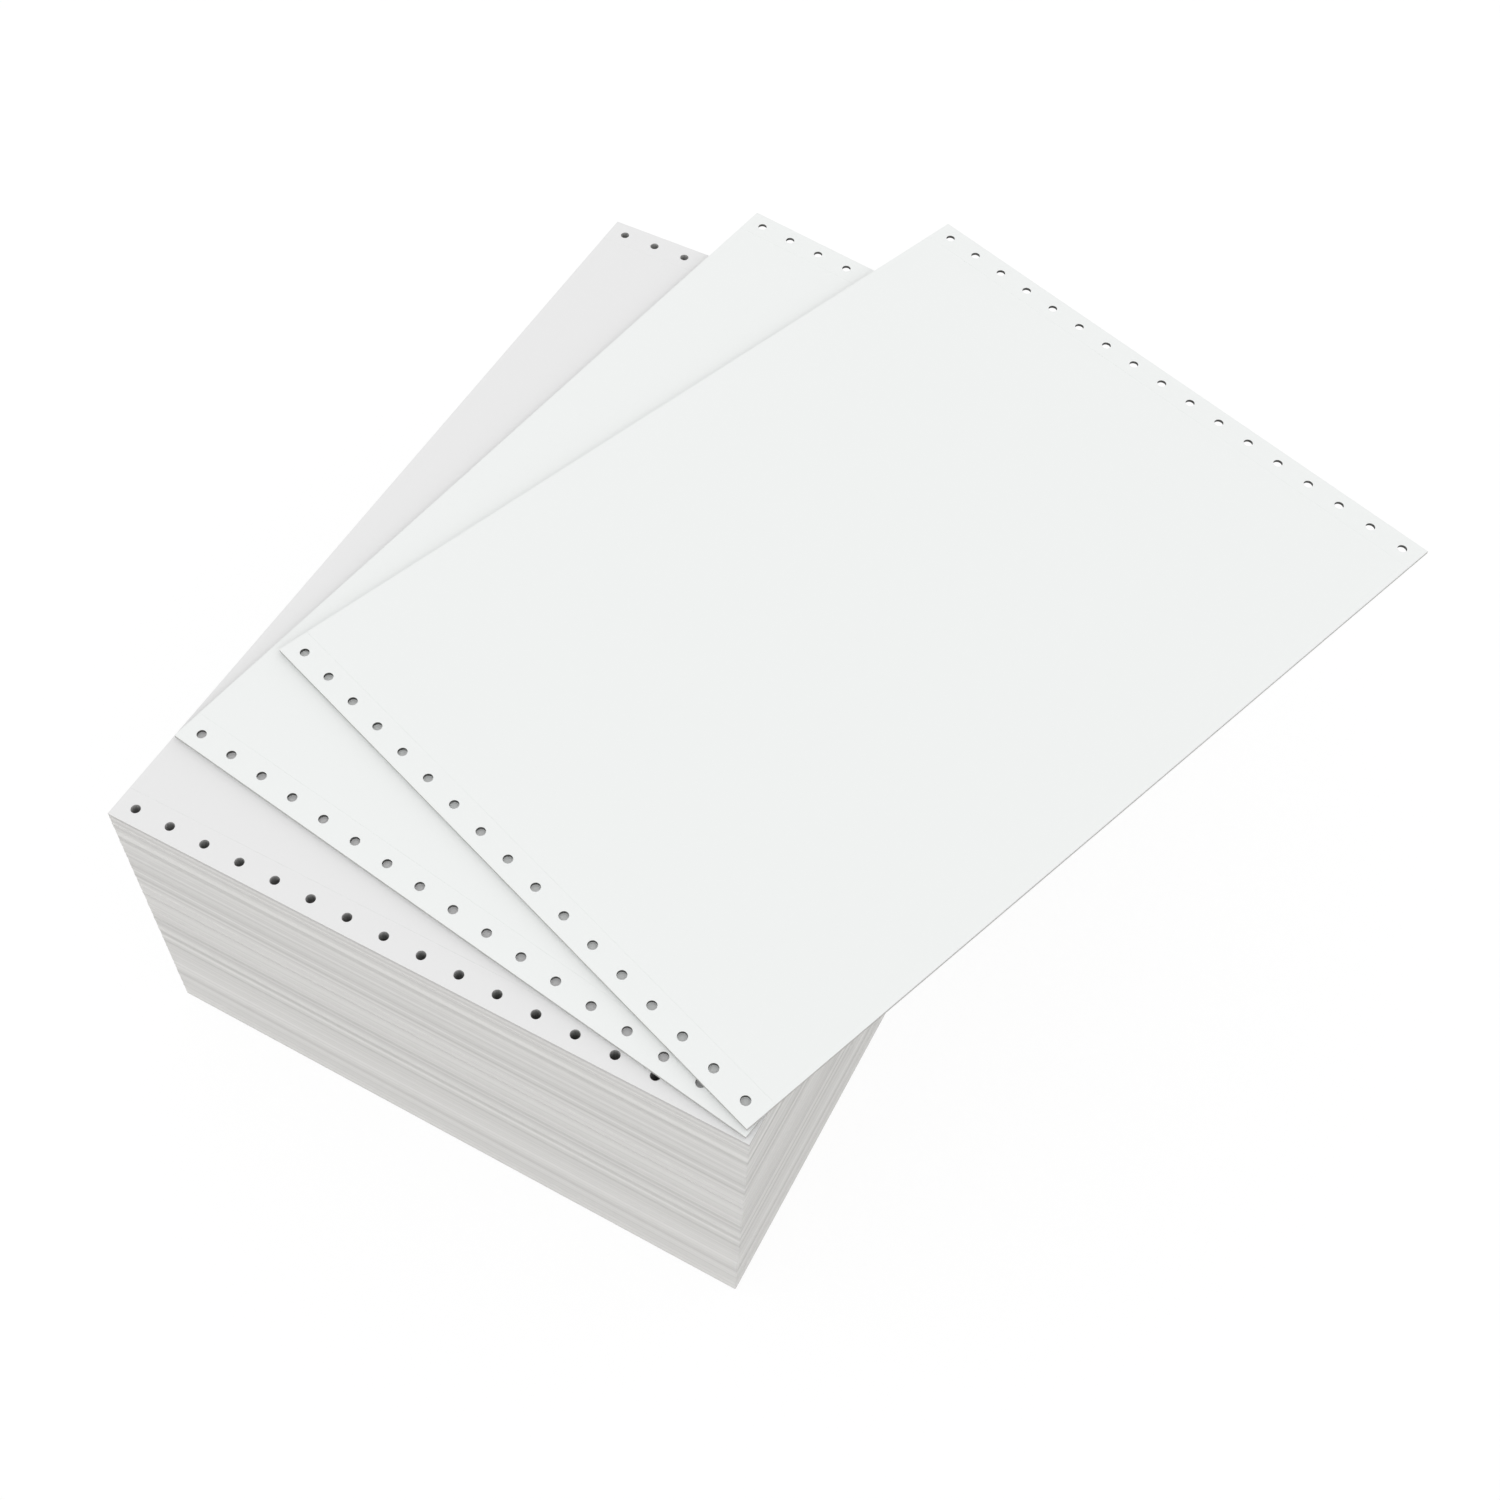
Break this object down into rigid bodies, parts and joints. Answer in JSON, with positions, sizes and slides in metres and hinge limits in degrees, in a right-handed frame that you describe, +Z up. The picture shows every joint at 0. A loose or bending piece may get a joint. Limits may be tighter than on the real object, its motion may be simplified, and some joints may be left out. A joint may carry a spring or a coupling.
{
  "type": "fanfold continuous form paper",
  "caption": "Fanfold continuous form paper: a tall folded block with punched, perforated margins and two thin packs of forms fanned out on top of it.",
  "frame": {"origin": "centre of the block's bottom face", "axes": "+X along the rows of tractor holes, from fold side to fold side; +Y across the web, from the near cut edge to the far one; +Z up"},
  "size_m": [0.3145, 0.3617, 0.1176],
  "materials": {
    "paper": "matte uncoated white bond paper"
  },
  "bodies": {
    "root": {"fanfold_block": "paper", "middle_pack": "paper", "top_pack": "paper"}
  },
  "joints": []
}
